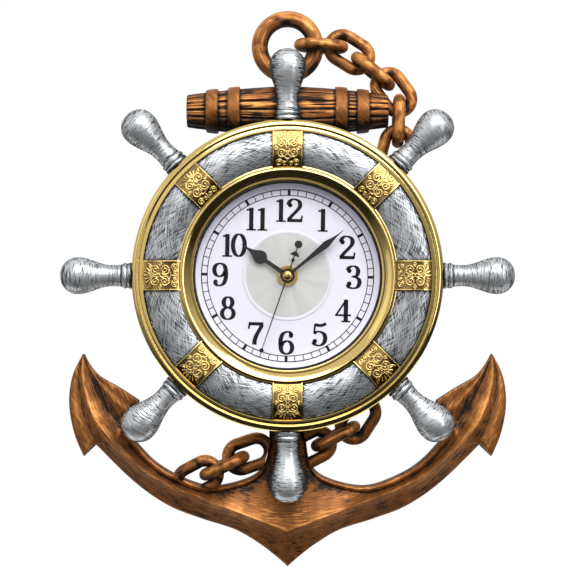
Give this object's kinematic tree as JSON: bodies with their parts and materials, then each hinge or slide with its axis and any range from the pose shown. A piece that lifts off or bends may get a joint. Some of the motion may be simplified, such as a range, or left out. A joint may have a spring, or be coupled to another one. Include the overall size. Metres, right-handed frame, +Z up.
{
  "type": "ship wheel wall clock",
  "caption": "Wall clock shaped as a ship's wheel with turned spokes round a dial, mounted on an anchor with stock, shackle ring and chain; quartz movement behind.",
  "frame": {"origin": "point where the wall nail carries the top of the hanger's keyhole slot, in the plane of the wall", "axes": "+X to the right of the dial, +Y into the wall, +Z up; the dial faces -Y and the hands turn clockwise about +Y"},
  "size_m": [0.3242, 0.0476, 0.4003],
  "materials": {
    "copper_paint": "antique copper paint with dark patina on moulded plastic",
    "silver_paint": "silver drybrushed over black on moulded plastic",
    "gold_plate": "vacuum plated gold on moulded plastic",
    "dial_print": "printed matt white",
    "lens_clear": "clear",
    "black_plastic": "moulded, matt",
    "plated_steel": "zinc plated",
    "brass": "polished",
    "battery_can": "plain sleeve, no print",
    "board": "laminate",
    "gear_nylon": "moulded nylon",
    "black_enamel": "black enamel"
  },
  "bodies": {
    "clock": {"anchor": "copper_paint", "stock": "copper_paint", "stock_hoop_1": "copper_paint", "stock_hoop_2": "copper_paint", "stock_hoop_3": "copper_paint", "stock_hoop_4": "copper_paint", "shackle_ring": "copper_paint", "chain_upper_1": "copper_paint", "chain_upper_2": "copper_paint", "chain_upper_3": "copper_paint", "chain_upper_4": "copper_paint", "chain_upper_5": "copper_paint", "chain_upper_6": "copper_paint", "chain_lower_1": "copper_paint", "chain_lower_2": "copper_paint", "chain_lower_3": "copper_paint", "chain_lower_4": "copper_paint", "chain_lower_5": "copper_paint", "chain_lower_6": "copper_paint", "rim": "silver_paint", "outer_trim": "gold_plate", "inner_bezel": "gold_plate", "spoke_1": "silver_paint", "spoke_2": "silver_paint", "spoke_3": "silver_paint", "spoke_4": "silver_paint", "spoke_5": "silver_paint", "spoke_6": "silver_paint", "spoke_7": "silver_paint", "spoke_8": "silver_paint", "band_1": "gold_plate", "band_2": "gold_plate", "band_3": "gold_plate", "band_4": "gold_plate", "band_5": "gold_plate", "band_6": "gold_plate", "band_7": "gold_plate", "band_8": "gold_plate", "dial": "dial_print", "lens": "lens_clear", "back_case": "black_plastic", "hanger": "plated_steel", "movement_case": "black_plastic", "movement_cover": "black_plastic", "fixing_nut": "brass", "circuit_board": "board", "coil": "plated_steel"},
    "seconds": {"seconds_wheel": "gear_nylon", "second_hand": "black_enamel"},
    "step": {"step_wheel": "gear_nylon"},
    "motor": {"rotor": "gear_nylon"},
    "third": {"third_wheel": "gear_nylon"},
    "centre": {"centre_wheel": "gear_nylon"},
    "minutes": {"minute_pipe": "brass", "minute_hand": "black_enamel"},
    "motion": {"minute_wheel": "gear_nylon"},
    "hours": {"hour_wheel": "gear_nylon", "hour_hand": "black_enamel"},
    "knob": {"set_knob": "gear_nylon"},
    "cell": {"battery": "battery_can"}
  },
  "joints": [
    {"name": "second_spin", "type": "hinge", "parent": "clock", "child": "seconds", "pos_m": [0, -0.0356, -0.064], "axis": [0, 1, 0], "continuous": true},
    {"name": "step_spin", "type": "hinge", "parent": "clock", "child": "step", "pos_m": [-0.00439, -0.0137, -0.05457], "axis": [0, 1, 0], "continuous": true},
    {"name": "rotor_spin", "type": "hinge", "parent": "clock", "child": "motor", "pos_m": [-0.00565, -0.0137, -0.04748], "axis": [0, 1, 0], "continuous": true},
    {"name": "third_spin", "type": "hinge", "parent": "clock", "child": "third", "pos_m": [0.00781, -0.0137, -0.05744], "axis": [0, 1, 0], "continuous": true},
    {"name": "centre_spin", "type": "hinge", "parent": "clock", "child": "centre", "pos_m": [0, -0.0137, -0.064], "axis": [0, 1, 0], "continuous": true},
    {"name": "minute_spin", "type": "hinge", "parent": "clock", "child": "minutes", "pos_m": [0, -0.034, -0.064], "axis": [0, 1, 0], "continuous": true},
    {"name": "motion_spin", "type": "hinge", "parent": "clock", "child": "motion", "pos_m": [-0.00724, -0.0137, -0.06206], "axis": [0, 1, 0], "continuous": true},
    {"name": "hour_spin", "type": "hinge", "parent": "clock", "child": "hours", "pos_m": [0, -0.0324, -0.064], "axis": [0, 1, 0], "continuous": true},
    {"name": "knob_spin", "type": "hinge", "parent": "clock", "child": "knob", "pos_m": [-0.01474, -0.0137, -0.06206], "axis": [0, 1, 0], "continuous": true},
    {"name": "battery_slide", "type": "slide", "parent": "clock", "child": "cell", "axis": [0, 1, 0], "range_m": [0, 0.03]}
  ],
  "couplings": [
    {"joint": "step_spin", "follows": "second_spin", "ratio": -6},
    {"joint": "rotor_spin", "follows": "second_spin", "ratio": 30},
    {"joint": "third_spin", "follows": "second_spin", "ratio": -0.13333},
    {"joint": "centre_spin", "follows": "second_spin", "ratio": 0.016667},
    {"joint": "motion_spin", "follows": "minute_spin", "ratio": -0.33333},
    {"joint": "hour_spin", "follows": "minute_spin", "ratio": 0.083333},
    {"joint": "knob_spin", "follows": "minute_spin", "ratio": 1}
  ]
}
